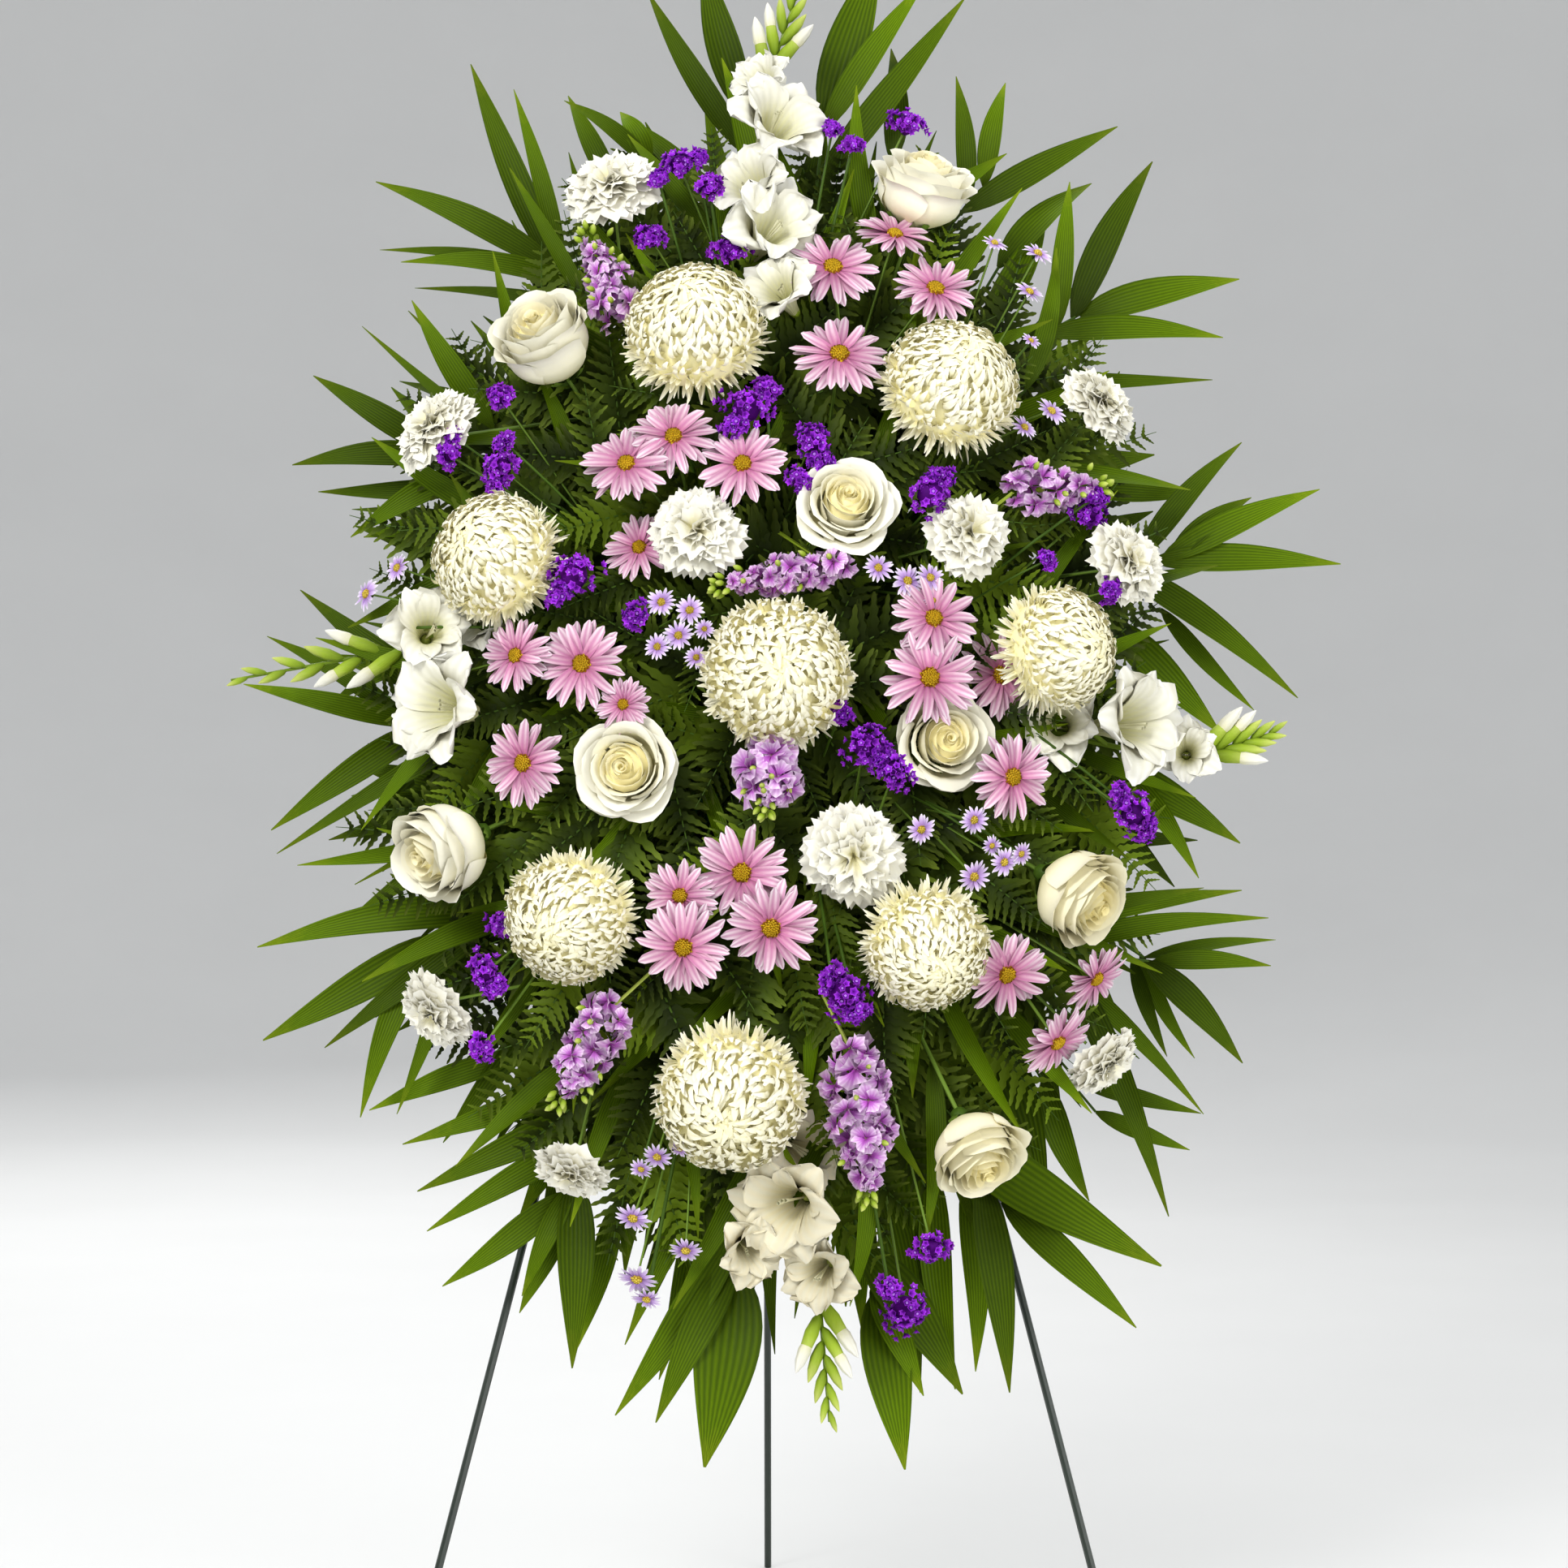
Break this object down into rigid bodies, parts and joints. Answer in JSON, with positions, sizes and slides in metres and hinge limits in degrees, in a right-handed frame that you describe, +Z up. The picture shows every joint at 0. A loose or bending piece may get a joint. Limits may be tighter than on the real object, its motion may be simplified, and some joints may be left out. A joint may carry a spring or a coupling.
{
  "type": "standing funeral spray",
  "caption": "Oval spray of white and mauve cut flowers, palm fronds and fern in a foam tray on a leaning wire easel with a folding back leg.",
  "frame": {"origin": "on the floor, under the middle of the whole object's bounding box", "axes": "+Z up; the flowers face -Y, the back leg stands out to +Y; +X is to the right as seen from the front"},
  "size_m": [0.8502, 0.6344, 1.3488],
  "materials": {
    "easel_wire": "dark green enamelled steel wire, semi-gloss",
    "tray": "green moulded plastic tray",
    "foam": "wet green floral foam",
    "mum": "cream chrysanthemum petals with pale yellow centres, green stems",
    "rose": "ivory rose petals, green stems",
    "carnation": "white ruffled carnation petals, green stems",
    "gladiolus": "white gladiolus petals with pale green throats, green buds",
    "daisy": "pale mauve-pink daisy petals with ochre-green discs",
    "statice": "deep violet papery statice, green stems",
    "stock": "lavender-magenta stock florets, green stems",
    "aster": "small lavender aster petals, yellow discs",
    "palm": "olive to yellow-green palm leaflets, semi-gloss",
    "fern": "dark green fern, satin"
  },
  "bodies": {
    "stand": {"aster_bottom": "aster", "aster_left": "aster", "aster_lower": "aster", "aster_upper_right": "aster", "carnation_centre": "carnation", "carnation_lower_left": "carnation", "carnation_lower_right": "carnation", "carnation_right": "carnation", "carnation_upper_left": "carnation", "daisy_left": "daisy", "daisy_lower_right": "daisy", "daisy_middle": "daisy", "daisy_right": "daisy", "daisy_top": "daisy", "daisy_upper_left": "daisy", "easel_crossbar_lower": "easel_wire", "easel_crossbar_top": "easel_wire", "easel_leg_left": "easel_wire", "easel_leg_right": "easel_wire", "fern": "fern", "foam_block": "foam", "foam_tray": "tray", "gladiolus_bottom": "gladiolus", "gladiolus_left": "gladiolus", "gladiolus_right": "gladiolus", "gladiolus_top": "gladiolus", "mum_1": "mum", "mum_2": "mum", "mum_3": "mum", "mum_4": "mum", "mum_5": "mum", "mum_6": "mum", "mum_7": "mum", "mum_8": "mum", "palm_bottom": "palm", "palm_left": "palm", "palm_lower_left": "palm", "palm_lower_right": "palm", "palm_right": "palm", "palm_top": "palm", "palm_upper_left": "palm", "palm_upper_right": "palm", "rose_1": "rose", "rose_2": "rose", "rose_3": "rose", "rose_4": "rose", "rose_5": "rose", "rose_6": "rose", "rose_7": "rose", "rose_8": "rose", "statice_bottom": "statice", "statice_left": "statice", "statice_lower_left": "statice", "statice_middle": "statice", "statice_right": "statice", "statice_top": "statice", "stock_lower": "stock", "stock_right": "stock", "stock_upper": "stock"},
    "back_leg": {"easel_back_leg": "easel_wire"}
  },
  "joints": [
    {"name": "back_leg_fold", "type": "hinge", "parent": "stand", "child": "back_leg", "pos_m": [-0.01922, 0.03019, 0.93967], "axis": [-1, 0, 0], "range_deg": [0, 27]}
  ]
}
